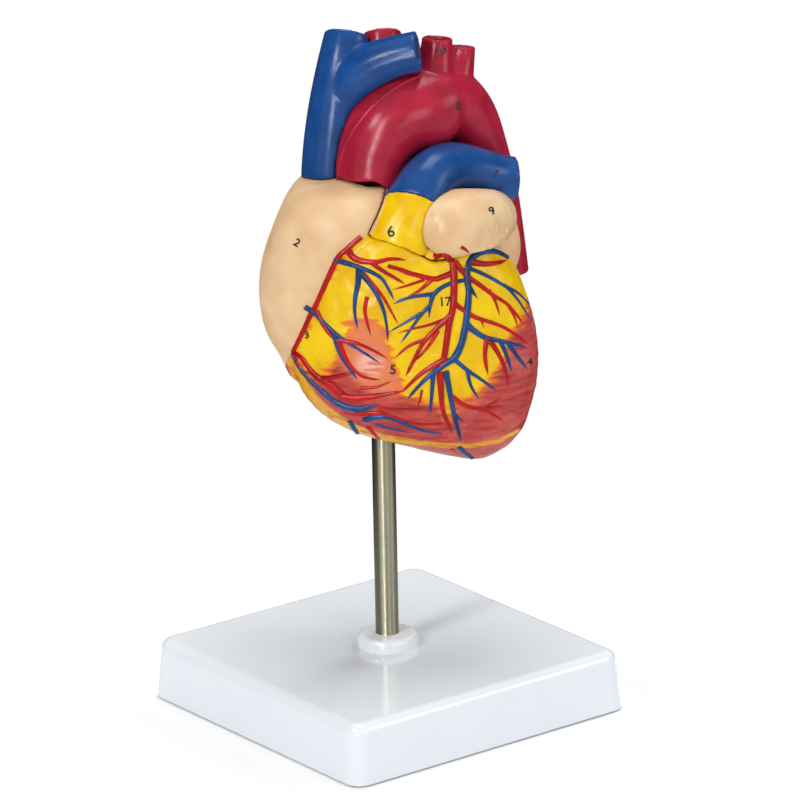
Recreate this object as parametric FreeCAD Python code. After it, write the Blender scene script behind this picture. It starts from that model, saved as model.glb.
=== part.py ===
import FreeCAD, Part
import math
import os

# Human heart model on a rod stand, in millimetres.
# The base lies along X and Y, the origin is under the rod, on the table.
# The heart is drawn in its own frame: x to its viewer's right, y away from the viewer,
# z up from heart_height. It is turned by heart_turn about the rod when it is placed.

Vector = FreeCAD.Vector
UP = Vector(0, 0, 1)
AWAY = Vector(0, 1, 0)

# stand
base_side = 146.0
base_height = 26.75
base_wall = 3.0
base_corner_radius = 7.0
base_edge_radius = 4.5
base_draft = 1.9
floor_gap = 0.8
foot_diameter = 12.0
foot_thickness = 2.4
foot_inset = 15.0
foot_post_wall = 2.0
rib_thickness = 2.0
rib_depth = 12.0
rod_diameter = 10.0
rod_wall = 1.0
rod_running_gap = 0.05
boss_wall = 2.5
boss_floor = 3.0
boss_floor_height = 10.0
collar_diameter = 26.0
collar_height = 5.5
collar_edge_radius = 2.2
collar_spigot_depth = 5.0
collar_spigot_wall = 2.5
insert_length = 22.0
screw_diameter = 5.0
screw_gap = 0.10
screw_length = 18.0
screw_head_diameter = 9.5
screw_head_height = 3.0
screw_slot_width = 1.4
screw_slot_depth = 1.5
washer_diameter = 15.0
washer_thickness = 1.0

# heart on its rod
heart_turn = -37.3
heart_height = 118.0
socket_top = 66.0
socket_wall = 2.5
socket_cap = 3.0
socket_gap = 0.08
socket_cover = 3.0

# front cover and chambers
seam_depth = -9.0
seam_shift_side = 0.40
seam_shift_down = 0.25
ventricle_wall = 5.0
atrium_wall = 3.5
vessel_wall = 2.2
root_wall = 3.5
pin_diameter = 3.0
pin_seat = 9.0
pin_reach = 6.0
pin_gap = 0.10
pin_boss_diameter = 8.5
pin_boss_depth = 12.0
bore_set_back = 2.5
bore_narrowing = 1.5

# valves and what holds them
tricuspid_diameter = 24.0
tricuspid_start = (-40.0, 6.0, 79.0)
tricuspid_line = (0.88, 0.0, -0.47)
tricuspid_length = 28.0
tricuspid_seat = 14.0
mitral_diameter = 20.0
mitral_start = (16.0, 22.0, 104.0)
mitral_line = (0.36, -0.30, -0.88)
mitral_length = 34.0
mitral_seat = 17.0
ring_length = 7.0
ring_wall = 1.8
cusp_wall = 1.3
cusp_reach = 9.0
cusp_taper = 0.55
cusp_slot = 1.2
aortic_valve_place = (-1.5, -4.5, 111.0)
aortic_valve_line = (0.0, -0.07, 1.0)
pulmonary_valve_place = (11.6, -27.5, 106.0)
pulmonary_valve_line = (0.3, 0.0, 1.0)
pocket_wall = 1.1
pocket_ring_height = 3.0
papillary_foot = 10.0
papillary_tip = 4.0
# foot in the wall, line and length of each muscle
right_papillaries = (
    ((-25.0, 3.0, 24.0), (0.30, 0.10, 0.95), 30.0),
    ((-38.0, 8.0, 38.0), (0.60, -0.05, 0.80), 21.0),
)
left_papillaries = (
    ((42.0, 14.0, 22.0), (-0.34, -0.06, 0.94), 34.0),
    ((52.0, 0.0, 32.0), (-0.55, 0.16, 0.82), 30.0),
)

# drawing of the lobes and vessels
ventricle_tilt = -22.0
apex_side = 45.0
level_points = 12
round_points = 12
end_turns = (28, 55, 80)
lobe_stations = 18
fullness = 0.88
side_patches = 4


def closed_curve(points):
    """A smooth closed outline. Equal steps let all outlines of a skin share one net."""
    curve = Part.BSplineCurve()
    steps = [float(step) for step in range(len(points) + 1)]
    curve.interpolate(Points=points, PeriodicFlag=True, Parameters=steps)
    return curve


def skinned(outlines):
    """A solid whose side runs smoothly through the closed outlines, with flat ends."""
    side = Part.BSplineSurface()
    side.buildFromNSections(outlines)
    start, end, bottom, top = side.bounds()
    faces = []
    for patch in range(side_patches):
        strip = side.copy()
        strip.segment(start + (end - start) * patch / side_patches,
                      start + (end - start) * (patch + 1) / side_patches, bottom, top)
        faces.append(strip.toShape())
    for outline in (outlines[0], outlines[-1]):
        faces.append(Part.Face(Part.Wire(outline.toShape())))
    shell = Part.makeShell(faces)
    shell.sewShape()
    return Part.makeSolid(shell)


def level_outline(height, left, right, front, back, widest):
    """One level of a lobe: two full half ovals that meet on the line where it is widest."""
    middle = (left + right) / 2
    half_width = (right - left) / 2
    points = []
    for step in range(level_points):
        angle = 2 * math.pi * step / level_points
        side = math.copysign(abs(math.cos(angle)) ** fullness, math.cos(angle))
        depth = math.copysign(abs(math.sin(angle)) ** fullness, math.sin(angle))
        reach = back - widest if depth > 0 else widest - front
        points.append(Vector(middle + half_width * side, widest + reach * depth, height))
    return closed_curve(points)


def shrunk_level(level, height, share):
    """The level drawn together about its own centre, for a rounded end."""
    left, right, front, back, widest = level[1:]
    middle = (left + right) / 2
    return (height,
            middle + (left - middle) * share,
            middle + (right - middle) * share,
            widest + (front - widest) * share,
            widest + (back - widest) * share,
            widest)


def rail(rings, columns, steps):
    """A smooth curve through three columns of the levels, met level by level."""
    points = [Vector(*[ring[column] for column in columns]) for ring in rings]
    curve = Part.BSplineCurve()
    curve.interpolate(Points=points, Parameters=steps)
    return curve


def lobe(levels, bottom_round=0.0, top_round=0.0, inset=0.0):
    """A lobe through its levels with rounded ends. An inset gives the hollow within a wall."""
    drawn = []
    for height, left, right, front, back, widest in levels:
        drawn.append((height, left + inset, right - inset, front + inset, back - inset, widest))
    rings = list(drawn)
    for turn in end_turns:
        angle = math.radians(turn)
        share = math.cos(angle)
        if bottom_round > inset:
            height = drawn[0][0] - (bottom_round - inset) * math.sin(angle)
            rings.insert(0, shrunk_level(drawn[0], height, share))
        if top_round > inset:
            height = drawn[-1][0] + (top_round - inset) * math.sin(angle)
            rings.append(shrunk_level(drawn[-1], height, share))
    steps = [0.0]
    for lower, upper in zip(rings, rings[1:]):
        rise = Vector(upper[0] - lower[0], upper[1] - lower[1], upper[2] - lower[2])
        steps.append(steps[-1] + rise.Length)
    sides = rail(rings, (0, 1, 2), steps)
    depths = rail(rings, (3, 4, 5), steps)
    outlines = []
    for station in range(lobe_stations):
        at = steps[-1] * station / (lobe_stations - 1)
        outlines.append(level_outline(*sides.value(at), *depths.value(at)))
    return skinned(outlines)


def vessel(stations, cross=AWAY):
    """A round vessel. Each station gives side, depth, height and radius."""
    places = [Vector(*station[:3]) for station in stations]
    steps = [0.0]
    for near, far in zip(stations, stations[1:]):
        swell = abs(far[3] - near[3])
        steps.append(steps[-1] + Vector(*far[:3]).distanceToPoint(Vector(*near[:3])) + swell)
    route = Part.BSplineCurve()
    route.interpolate(Points=places, Parameters=steps)
    swelling = Part.BSplineCurve()
    swelling.interpolate(Points=[Vector(station[3], 0, step) for station, step in zip(stations, steps)],
                         Parameters=steps)
    outlines = []
    rounds = 2 * len(stations) - 1
    for index in range(rounds):
        at = steps[-1] * index / (rounds - 1)
        centre = route.value(at)
        radius = swelling.value(at).x
        along = route.tangent(at)[0]
        across = along.cross(cross).normalize()
        other = across.cross(along).normalize()
        points = []
        for step in range(round_points):
            angle = 2 * math.pi * step / round_points
            points.append(centre + across * (radius * math.cos(angle)) + other * (radius * math.sin(angle)))
        outlines.append(closed_curve(points))
    return skinned(outlines)


# levels of the lobes: height, left, right, front, back, and the line where they are widest
ventricle_levels = (
    (-0.9, -2.5, 1.0, -15.0, -11.5, -13.0),
    (-0.5, -5.5, 5.5, -18.5, -8.5, -13.0),
    (0.6, -9.0, 9.5, -21.0, -5.5, -13.0),
    (3.0, -12.8, 14.2, -23.5, -2.5, -13.0),
    (6.0, -17.0, 18.8, -26.0, 1.0, -13.0),
    (10.5, -23.0, 22.6, -29.0, 5.0, -13.0),
    (18.0, -32.5, 28.2, -33.0, 12.0, -13.0),
    (29.0, -46.0, 34.2, -37.0, 22.0, -13.0),
    (41.0, -56.5, 38.4, -40.0, 29.0, -13.0),
    (56.0, -62.0, 40.8, -42.0, 34.0, -13.0),
    (72.0, -61.0, 41.0, -43.0, 33.0, -13.0),
    (88.0, -54.0, 37.0, -43.0, 26.0, -13.0),
    (101.0, -42.0, 29.0, -42.0, 16.0, -13.0),
    (110.0, -30.0, 18.0, -40.0, 6.0, -13.0),
)
ventricle_top_round = 8.0
# the wall is thicker at the apex, so the hollow starts at this level
hollow_start = 5
hollow_round = 5.0
right_atrium_levels = (
    (40.0, -41.0, -20.0, -20.0, 12.0, -12.0),
    (50.0, -46.0, -12.0, -26.0, 20.0, -12.0),
    (60.0, -49.6, -4.0, -31.0, 26.0, -12.0),
    (72.0, -50.8, 2.0, -34.0, 30.0, -12.0),
    (85.0, -49.4, 8.0, -37.0, 32.0, -12.0),
    (100.0, -44.3, 13.0, -39.0, 32.0, -12.0),
    (112.0, -38.6, 13.0, -37.0, 30.0, -12.0),
)
right_atrium_bottom_round = 8.5
right_atrium_top_round = 8.0
left_atrium_levels = (
    (70.0, -8.0, 56.0, -6.0, 38.0, 14.0),
    (80.0, -14.0, 59.5, -14.0, 43.0, 14.0),
    (92.0, -16.0, 58.0, -16.0, 44.0, 14.0),
    (104.0, -14.0, 52.0, -12.0, 42.0, 14.0),
)
left_atrium_round = 11.0
# the left ventricle's thick wall bulges into the right one as the septum
left_ventricle_levels = (
    (4.0, -14.0, 56.0, -30.0, 26.0, -8.0),
    (18.0, -18.0, 62.0, -36.0, 36.0, -8.0),
    (36.0, -22.0, 66.0, -40.0, 42.0, -8.0),
    (56.0, -23.0, 66.0, -41.0, 46.0, -8.0),
    (76.0, -20.0, 62.0, -40.0, 44.0, -8.0),
    (96.0, -12.0, 54.0, -36.0, 36.0, -8.0),
)
left_ventricle_round = 6.0
left_chamber_levels = (
    (17.0, -3.0, 15.0, -13.0, 4.0, -3.0),
    (30.0, -9.0, 24.0, -17.0, 12.0, -2.0),
    (50.0, -12.0, 29.0, -18.0, 19.0, 0.0),
    (68.0, -10.0, 28.0, -16.0, 20.0, 1.0),
    (80.0, -6.0, 24.0, -12.0, 18.0, 2.0),
    (90.0, -1.0, 21.0, -8.0, 14.0, 2.0),
)
left_chamber_round = 7.0


def tilted(shape):
    """Ventricle shapes are drawn upright on their long axis and laid over to the apex."""
    shape.rotate(Vector(0, 0, 0), AWAY, ventricle_tilt)
    shape.translate(Vector(apex_side, 0, 0))
    return shape


def ventricle_form():
    return tilted(lobe(ventricle_levels, top_round=ventricle_top_round))


def ventricle_hollow():
    levels = ventricle_levels[hollow_start:]
    hollow = lobe(levels, hollow_round + ventricle_wall, ventricle_top_round, ventricle_wall)
    return tilted(hollow)


def right_atrium_form(inset=0.0):
    return lobe(right_atrium_levels, right_atrium_bottom_round, right_atrium_top_round, inset)


def left_atrium_form(inset=0.0):
    return lobe(left_atrium_levels, left_atrium_round, left_atrium_round, inset)


# vessels: side, depth, height and radius at each station
aorta_stations = (
    (-1.5, -4, 98, 15.0), (-1.5, -5, 116, 16.5), (-0.5, -4, 130, 16.5), (3.4, -3, 138.6, 17.0),
    (11.5, 0, 144.6, 17.8), (20.5, 3, 146.6, 17.6), (29.5, 8, 148, 14.6), (37, 13, 140.5, 12.8),
    (41.5, 17, 130, 11.8), (45.8, 20, 117, 10.6), (49.2, 22, 104, 9.7), (52, 24, 88, 9.0),
    (54.5, 25, 66.5, 8.8),
)
carotid_stations = ((23.5, 4, 147, 10.6), (24.2, 5, 158, 8.8), (25.4, 8, 169, 6.9), (26, 9, 175, 6.4))
subclavian_stations = (
    (30.8, 8, 147, 9.4), (33.6, 9.5, 157, 7.5), (36.2, 12.4, 166, 5.4), (36.8, 13.2, 170, 5.1),
)
brachiocephalic_stations = ((6, 4, 148, 9.2), (4, 9, 164, 8.2), (3, 15, 176, 8.0))
cava_stations = ((-20, 4, 108, 12.5), (-18.8, 4, 130, 12.3), (-15.4, 5, 155, 11.4), (-11.5, 12, 176, 9.7))
left_vein_stations = ((-14, 4, 148, 9.8), (-8, 1.5, 160, 10.8), (2, -2.5, 168.2, 9.4), (18, -6, 173.4, 8.6))
pulmonary_stations = (
    (4.5, -23, 82, 17.0), (8, -27.5, 98, 17.0), (15.2, -26.3, 112.2, 13.3), (22.5, -19.5, 122.8, 11.3),
    (31, -10, 124.0, 10.6), (42, -2, 119.5, 10.0), (57.5, 4, 114.5, 9.2),
)
trunk_top_station = 2
trunk_top_line = (0.30, 0.62, 0.72)
root_stations = (
    (20, 2, 74, 12.0), (9, 0, 88, 13.0), (-1.5, -4, 104, 15.0), (-1.5, -5, 115, 15.5), (-1.5, -5, 126, 15.5),
)
right_pulmonary_stations = ((34, -6, 121, 8.0), (22, 14, 117, 8.0), (4, 21, 116, 8.0), (-24, 22, 115, 7.6))
auricle_stations = (
    (17.8, -30, 102.6, 1.5), (18.2, -30, 102.6, 6.0), (20.2, -30.5, 103.2, 10.5), (24.5, -30.5, 104.2, 13.5),
    (31, -29.5, 105.0, 14.6), (37.5, -25.5, 104.6, 14.2), (43, -18, 103.5, 13.0), (47, -8, 101.5, 11.6),
)

left_vein_pair = (
    ((40, 30, 100, 5.4), (44, 38, 101, 5.4), (47, 45, 102, 5.2)),
    ((41, 30, 84, 5.2), (45, 38, 83, 5.2), (48, 44, 82, 5.0)),
)
right_vein_pair = (
    ((-2, 32, 100, 5.4), (-8, 40, 101, 5.4), (-13, 46, 102, 5.2)),
    ((-2, 32, 86, 5.2), (-8, 40, 85, 5.2), (-13, 46, 84, 5.0)),
)
lower_cava_stations = ((-24, 18, 64, 10.0), (-24, 25, 50, 10.0), (-22, 28, 36, 10.0), (-21, 28, 24, 10.0))

# the cover's edge seen from the front: side and height
cover_top_left = (-70.0, 117.8)
cover_crown = ((-34.0, 117.8), (-16.0, 120.6), (-1.0, 121.6), (3.6, 118.4))
cover_corner = (-4.9, 103.2)
cover_brow = ((3.0, 102.2), (11.0, 99.4), (20.0, 93.4), (22.6, 92.2))
cover_under_auricle = ((27.5, 92.2), (33.0, 93.2), (38.0, 94.6), (44.0, 94.4), (50.0, 92.6))
cover_flank = ((55.5, 84.0), (61.0, 72.0))
cover_right = 90.0
cover_floor = -20.0

# locating pins: side and height
pin_places = ((61.0, 38.0), (42.0, 12.0), (-43.0, 62.0), (-24.0, 112.5))


def cylinder(radius, start, direction, length):
    return Part.makeCylinder(radius, length, Vector(*start), Vector(*direction))


def hollow_vessel(stations, wall):
    """The hollow of a vessel, one wall thinner and open past both its ends."""
    return vessel([(*station[:3], station[3] - wall) for station in stations])


def pulmonary_bore():
    """The pulmonary bore lies further back inside the heart, so that the front wall stays whole."""
    stations = []
    for index, (side, depth, height, radius) in enumerate(pulmonary_stations):
        steps_in = max(0, trunk_top_station - index)
        stations.append((side, depth + steps_in * bore_set_back, height,
                         radius - vessel_wall - steps_in * bore_narrowing))
    return vessel(stations)


def largest(shape):
    """The main body of a cut, without loose crumbs."""
    return max(shape.Solids, key=lambda solid: solid.Volume)


def half_space(place, line):
    """All that lies beyond a place along a line, as a large block."""
    return set_along(Part.makeBox(200, 200, 200, Vector(-100, -100, 0)), place, line)


def cover_block(shift_side=0.0, shift_down=0.0):
    """The front cover's outline drawn through the heart, up to the seam."""
    outline = [cover_top_left]
    outline.extend(cover_crown)
    outline.append(cover_corner)
    outline.extend(cover_brow)
    outline.extend(cover_under_auricle)
    outline.extend(cover_flank)
    outline.extend([(cover_right, cover_flank[-1][1]), (cover_right, cover_floor),
                    (cover_top_left[0], cover_floor)])
    corners = [Vector(side - shift_side, -100, height - shift_down) for side, height in outline]
    face = Part.Face(Part.makePolygon(corners + corners[:1]))
    return face.extrude(Vector(0, 100 + seam_depth, 0))


def ventricle_rooms():
    """The two ventricles' hollows and the way out of the left one to the aorta."""
    left_wall = tilted(lobe(left_ventricle_levels, left_ventricle_round, left_ventricle_round))
    root = vessel(root_stations)
    way_out = hollow_vessel(root_stations, root_wall)
    left_room = tilted(lobe(left_chamber_levels, left_chamber_round, left_chamber_round))
    right_room = ventricle_hollow().cut([left_wall, root, rod_pillar()])
    return right_room, left_room.fuse(way_out)


def atrium_rooms(ventricles, right_atrium):
    right_room = right_atrium_form(atrium_wall).cut([ventricles, vessel(root_stations)])
    left_room = left_atrium_form(atrium_wall).cut([ventricles, right_atrium])
    return right_room, left_room


def valve_openings():
    tricuspid = cylinder(tricuspid_diameter / 2, tricuspid_start, tricuspid_line, tricuspid_length)
    mitral = cylinder(mitral_diameter / 2, mitral_start, mitral_line, mitral_length)
    return [tricuspid, mitral]


def vessel_ways():
    """Where the great veins' bores go on through the walls of the atria."""
    return [hollow_vessel(stations, vessel_wall)
            for stations in (cava_stations, lower_cava_stations) + left_vein_pair + right_vein_pair]


def set_along(shape, start, line, distance=0.0):
    """Moves a shape that stands on Z to a place along a line."""
    along = Vector(*line).normalize()
    place = FreeCAD.Placement(Vector(*start) + along * distance, FreeCAD.Rotation(UP, along))
    return shape.transformed(place.toMatrix())


def leaf_valve(diameter, start, line, seat, cusps, room):
    """A ring seated in its opening, and thin cusps that lean together into the room beyond."""
    radius = diameter / 2
    ring = cylinder(radius, (0, 0, 0), (0, 0, 1), ring_length)
    ring = ring.cut(cylinder(radius - ring_wall, (0, 0, 0), (0, 0, 1), ring_length))
    foot = Vector(0, 0, ring_length)
    skirt = Part.makeCone(radius, radius * cusp_taper, cusp_reach, foot)
    skirt = skirt.cut(Part.makeCone(radius - cusp_wall, radius * cusp_taper - cusp_wall, cusp_reach, foot))
    slots = []
    for cusp in range(cusps):
        slot = Part.makeBox(radius, cusp_slot, cusp_reach, Vector(0, -cusp_slot / 2, ring_length + cusp_wall))
        slot.rotate(Vector(0, 0, 0), UP, 360 * cusp / cusps)
        slots.append(slot)
    skirt = set_along(skirt.cut(slots), start, line, seat).common(room)
    return largest(set_along(ring, start, line, seat).fuse(skirt))


def papillary_muscles(places, room):
    """Cones that rise from the chamber's wall towards the valve, with rounded tips."""
    muscles = []
    for foot, line, length in places:
        muscle = Part.makeCone(papillary_foot / 2, papillary_tip / 2, length)
        muscle = muscle.fuse(Part.makeSphere(papillary_tip / 2, Vector(0, 0, length)))
        muscles.append(largest(set_along(muscle, foot, line).common(room)))
    return muscles


def pocket_valve(radius, place, line, vessel_bore):
    """Three pockets that open downstream and meet in the middle, trimmed to their vessel."""
    outer = []
    inner = []
    for pocket in range(3):
        turn = math.radians(120 * pocket)
        centre = Vector(radius / 2 * math.cos(turn), radius / 2 * math.sin(turn), 0)
        outer.append(Part.makeSphere(radius / 2 + pocket_wall / 2, centre, UP, -90, 0))
        inner.append(Part.makeSphere(radius / 2 - pocket_wall / 2, centre, UP, -90, 90))
    ring = cylinder(radius + vessel_wall / 2, (0, 0, -pocket_ring_height), (0, 0, 1), pocket_ring_height)
    ring = ring.cut(cylinder(radius - pocket_wall, (0, 0, -pocket_ring_height), (0, 0, 1), pocket_ring_height))
    valve = ring.fuse(outer).cut(inner)
    return set_along(valve, place, line).common(vessel_bore)


def rod_pillar():
    """Solid round the rod's socket, flat at the seam."""
    radius = rod_diameter / 2 + socket_gap + socket_wall + socket_cover
    height = socket_top + socket_cap + socket_cover
    pillar = cylinder(radius, (0, 0, -10), (0, 0, 1), height + 10)
    front = Part.makeBox(100, 100, 200, Vector(-50, seam_depth - 100, -50))
    return pillar.cut(front)


def socket_hole():
    radius = rod_diameter / 2 + socket_gap + socket_wall
    return cylinder(radius, (0, 0, -20), (0, 0, 1), 20 + socket_top + socket_cap)


def pin_bosses(body):
    bosses = []
    for side, height in pin_places:
        start = (side, seam_depth - pin_boss_depth, height)
        boss = cylinder(pin_boss_diameter / 2, start, (0, 1, 0), 2 * pin_boss_depth)
        bosses.append(boss.common(body))
    return bosses


def locating_pins():
    pins = []
    for side, height in pin_places:
        start = (side, seam_depth - pin_reach, height)
        pin = cylinder(pin_diameter / 2, start, (0, 1, 0), pin_reach + pin_seat)
        nose = [edge for edge in pin.Edges if edge.BoundBox.YMax < start[1] + 0.01]
        pins.append(pin.makeChamfer(pin_diameter / 6, nose))
    return Part.makeCompound(pins)


def pin_holes(radius, depth, towards):
    return [cylinder(radius, (side, seam_depth, height), (0, towards, 0), depth)
            for side, height in pin_places]


def heart_nodes():
    ventricles = ventricle_form()
    right_atrium = right_atrium_form()
    left_atrium = left_atrium_form()
    body = ventricles.fuse([right_atrium, left_atrium])
    right_room, left_room = ventricle_rooms()
    rooms = [right_room, left_room] + list(atrium_rooms(ventricles, right_atrium))
    bosses = pin_bosses(body)
    pulmonary_hollow = pulmonary_bore()
    shell = body.cut(rooms + valve_openings() + [pulmonary_hollow] + vessel_ways())
    shell = shell.fuse(bosses)
    wide_block = cover_block()
    cover = shell.common(cover_block(seam_shift_side, seam_shift_down))
    cover = cover.cut(pin_holes(pin_diameter / 2 + pin_gap, pin_reach + 1, -1))
    ventricle_cover = cover.common(ventricles)
    atrium_cover = cover.cut(ventricles).common(right_atrium)
    rear = shell.cut([wide_block, socket_hole()] + pin_holes(pin_diameter / 2, pin_seat, 1))
    ventricle_rear = rear.common(ventricles)
    atrium_rear = rear.cut(ventricles)
    right_atrium_rear = atrium_rear.common(right_atrium)
    left_atrium_rear = atrium_rear.cut(right_atrium)

    tricuspid = leaf_valve(tricuspid_diameter, tricuspid_start, tricuspid_line, tricuspid_seat, 3, right_room)
    mitral = leaf_valve(mitral_diameter, mitral_start, mitral_line, mitral_seat, 2, left_room)
    root_bore = hollow_vessel(root_stations, root_wall)
    aortic_valve = pocket_valve(root_stations[-2][3] - root_wall, aortic_valve_place, aortic_valve_line,
                                root_bore)
    trunk_radius = pulmonary_stations[trunk_top_station][3] - vessel_wall
    pulmonary_valve = pocket_valve(trunk_radius, pulmonary_valve_place, pulmonary_valve_line, pulmonary_hollow)

    auricle = vessel(auricle_stations).cut([body, wide_block])
    pulmonary = vessel(pulmonary_stations)
    above_trunk = half_space(pulmonary_stations[trunk_top_station][:3], trunk_top_line)
    arteries = pulmonary.common(above_trunk)
    right_branch = vessel(right_pulmonary_stations)
    right_hollow = hollow_vessel(right_pulmonary_stations, vessel_wall)
    arteries = arteries.fuse(right_branch).cut([pulmonary_hollow, right_hollow, body, auricle])
    trunk = pulmonary.cut([above_trunk, pulmonary_hollow, body, auricle, wide_block])
    arch = vessel(aorta_stations)
    arch_hollow = hollow_vessel(aorta_stations, vessel_wall)
    stumps = [vessel(carotid_stations), vessel(subclavian_stations), vessel(brachiocephalic_stations)]
    bores = [hollow_vessel(stump, vessel_wall)
             for stump in (carotid_stations, subclavian_stations, brachiocephalic_stations)]
    aorta = arch.fuse(stumps).cut([arch_hollow] + bores)
    aorta = aorta.cut([body, pulmonary, right_branch, auricle, wide_block])
    cava_outer = vessel(cava_stations).fuse(vessel(left_vein_stations))
    cava_bores = [hollow_vessel(cava_stations, vessel_wall), hollow_vessel(left_vein_stations, vessel_wall)]
    aorta_outer = arch.fuse(stumps)
    cava = cava_outer.cut(cava_bores).cut([body, aorta_outer, right_branch, wide_block])
    veins = {}
    for name, pair in (("left_pulmonary_veins", left_vein_pair), ("right_pulmonary_veins", right_vein_pair)):
        tubes = []
        for stations in pair:
            tubes.append(vessel(stations).cut([hollow_vessel(stations, vessel_wall), body]))
        veins[name] = Part.makeCompound(tubes)
    lower_cava = vessel(lower_cava_stations).cut([hollow_vessel(lower_cava_stations, vessel_wall), body])
    socket_bore = cylinder(rod_diameter / 2 + socket_gap, (0, 0, -20), (0, 0, 1), 20 + socket_top)
    socket = socket_hole().cut(socket_bore).common(body)
    nodes = {
        "heart_rear": largest(ventricle_rear),
        "right_atrium": largest(right_atrium_rear),
        "left_atrium": largest(left_atrium_rear),
        "front_cover": largest(ventricle_cover),
        "atrium_cover": largest(atrium_cover),
        "tricuspid_valve": tricuspid,
        "mitral_valve": mitral,
        "aortic_valve": largest(aortic_valve.cut(wide_block)),
        "pulmonary_valve": largest(pulmonary_valve.cut([wide_block, auricle])),
        "papillary_muscles": Part.makeCompound(papillary_muscles(right_papillaries, right_room)
                                               + papillary_muscles(left_papillaries, left_room)),
        "rod_socket": socket,
        "left_auricle": largest(auricle),
        "pulmonary_trunk": largest(trunk),
        "pulmonary_arteries": largest(arteries),
        "aorta": aorta,
        "superior_vena_cava": cava,
        "inferior_vena_cava": lower_cava,
        "locating_pins": locating_pins(),
    }
    nodes.update(veins)
    return {name: placed(shape) for name, shape in nodes.items()}


def placed(shape):
    shape.rotate(Vector(0, 0, 0), UP, heart_turn)
    shape.translate(Vector(0, 0, heart_height))
    return shape


# stand

def rounded_square(side, radius, height):
    """A square outline with round corners, centred on the rod."""
    half = side / 2
    straight_end = half - radius
    edges = []
    for quarter in range(4):
        turn = quarter * 90
        start = Vector(half, -straight_end, height)
        end = Vector(half, straight_end, height)
        centre = Vector(straight_end, straight_end, height)
        line = Part.LineSegment(start, end).toShape()
        corner = Part.makeCircle(radius, centre, UP, 0, 90)
        for edge in (line, corner):
            edge.rotate(Vector(0, 0, 0), UP, turn)
            edges.append(edge)
    return Part.Wire(edges)


def drafted_block(side, radius, bottom, top):
    """A block whose sides lean in by the base's draft towards the top."""
    low = rounded_square(side, radius, bottom)
    high = rounded_square(side - 2 * base_draft, radius, top)
    return Part.makeLoft([low, high], True, True)


def foot_places():
    reach = base_side / 2 - foot_inset
    return [(side * reach, depth * reach) for side in (-1, 1) for depth in (-1, 1)]


def base_shell():
    outer = drafted_block(base_side, base_corner_radius, floor_gap, base_height)
    rim = [edge for edge in outer.Edges if edge.BoundBox.ZMin > base_height - 0.01]
    outer = outer.makeFillet(base_edge_radius, rim)
    pocket_top = base_height - base_wall
    pocket = drafted_block(base_side - 2 * base_wall, base_corner_radius - base_wall, floor_gap - 1, pocket_top)
    shell = outer.cut(pocket)
    boss_bottom = boss_floor_height - boss_floor
    spigot_radius = rod_diameter / 2 + rod_running_gap + collar_spigot_wall
    boss = cylinder(spigot_radius + boss_wall, (0, 0, boss_bottom), (0, 0, 1), pocket_top - boss_bottom)
    added = [boss]
    reach = base_side / 2 - base_wall / 2
    for turn in (0, 90):
        rib = Part.makeBox(2 * reach, rib_thickness, rib_depth,
                           Vector(-reach, -rib_thickness / 2, pocket_top - rib_depth))
        rib.rotate(Vector(0, 0, 0), UP, turn)
        added.append(rib)
    for side, depth in foot_places():
        radius = foot_diameter / 2 + foot_post_wall
        added.append(cylinder(radius, (side, depth, floor_gap), (0, 0, 1), pocket_top - floor_gap))
    shell = shell.fuse(added)
    bore = rod_diameter / 2 + rod_running_gap
    holes = [
        cylinder(bore, (0, 0, boss_floor_height), (0, 0, 1), base_height),
        cylinder(spigot_radius, (0, 0, base_height - collar_spigot_depth), (0, 0, 1), base_height),
        cylinder(screw_diameter / 2 + screw_gap, (0, 0, 0), (0, 0, 1), base_height),
    ]
    for side, depth in foot_places():
        holes.append(cylinder(foot_diameter / 2, (side, depth, 0), (0, 0, 1), foot_thickness))
    return shell.cut(holes)


def rubber_feet():
    feet = []
    for side, depth in foot_places():
        foot = cylinder(foot_diameter / 2, (side, depth, 0), (0, 0, 1), foot_thickness)
        lower = [edge for edge in foot.Edges if edge.BoundBox.ZMax < 0.01]
        feet.append(foot.makeFillet(floor_gap / 2, lower))
    return Part.makeCompound(feet)


def rod_collar():
    ring = cylinder(collar_diameter / 2, (0, 0, base_height), (0, 0, 1), collar_height)
    top = [edge for edge in ring.Edges if edge.BoundBox.ZMin > base_height + collar_height - 0.01]
    ring = ring.makeFillet(collar_edge_radius, top)
    bore = rod_diameter / 2 + rod_running_gap
    spigot = cylinder(bore + collar_spigot_wall, (0, 0, base_height - collar_spigot_depth), (0, 0, 1),
                      collar_spigot_depth)
    hole = cylinder(bore, (0, 0, 0), (0, 0, 1), base_height + collar_height + 1)
    return ring.fuse(spigot).cut(hole)


def support_rod():
    length = heart_height + socket_top - boss_floor_height
    tube = cylinder(rod_diameter / 2, (0, 0, boss_floor_height), (0, 0, 1), length)
    bore = cylinder(rod_diameter / 2 - rod_wall, (0, 0, boss_floor_height), (0, 0, 1), length)
    return tube.cut(bore)


def rod_insert():
    plug = cylinder(rod_diameter / 2 - rod_wall, (0, 0, boss_floor_height), (0, 0, 1), insert_length)
    thread = cylinder(screw_diameter / 2, (0, 0, boss_floor_height), (0, 0, 1), insert_length)
    return plug.cut(thread)


def rod_screw():
    seat = boss_floor_height - boss_floor - washer_thickness
    head = cylinder(screw_head_diameter / 2, (0, 0, seat - screw_head_height), (0, 0, 1), screw_head_height)
    lower = [edge for edge in head.Edges if edge.BoundBox.ZMax < seat - screw_head_height + 0.01]
    head = head.makeFillet(screw_head_height / 3, lower)
    slot = Part.makeBox(screw_head_diameter, screw_slot_width, screw_slot_depth,
                        Vector(-screw_head_diameter / 2, -screw_slot_width / 2, seat - screw_head_height))
    shank = cylinder(screw_diameter / 2, (0, 0, seat), (0, 0, 1), screw_length)
    return head.fuse(shank).cut(slot)


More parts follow.
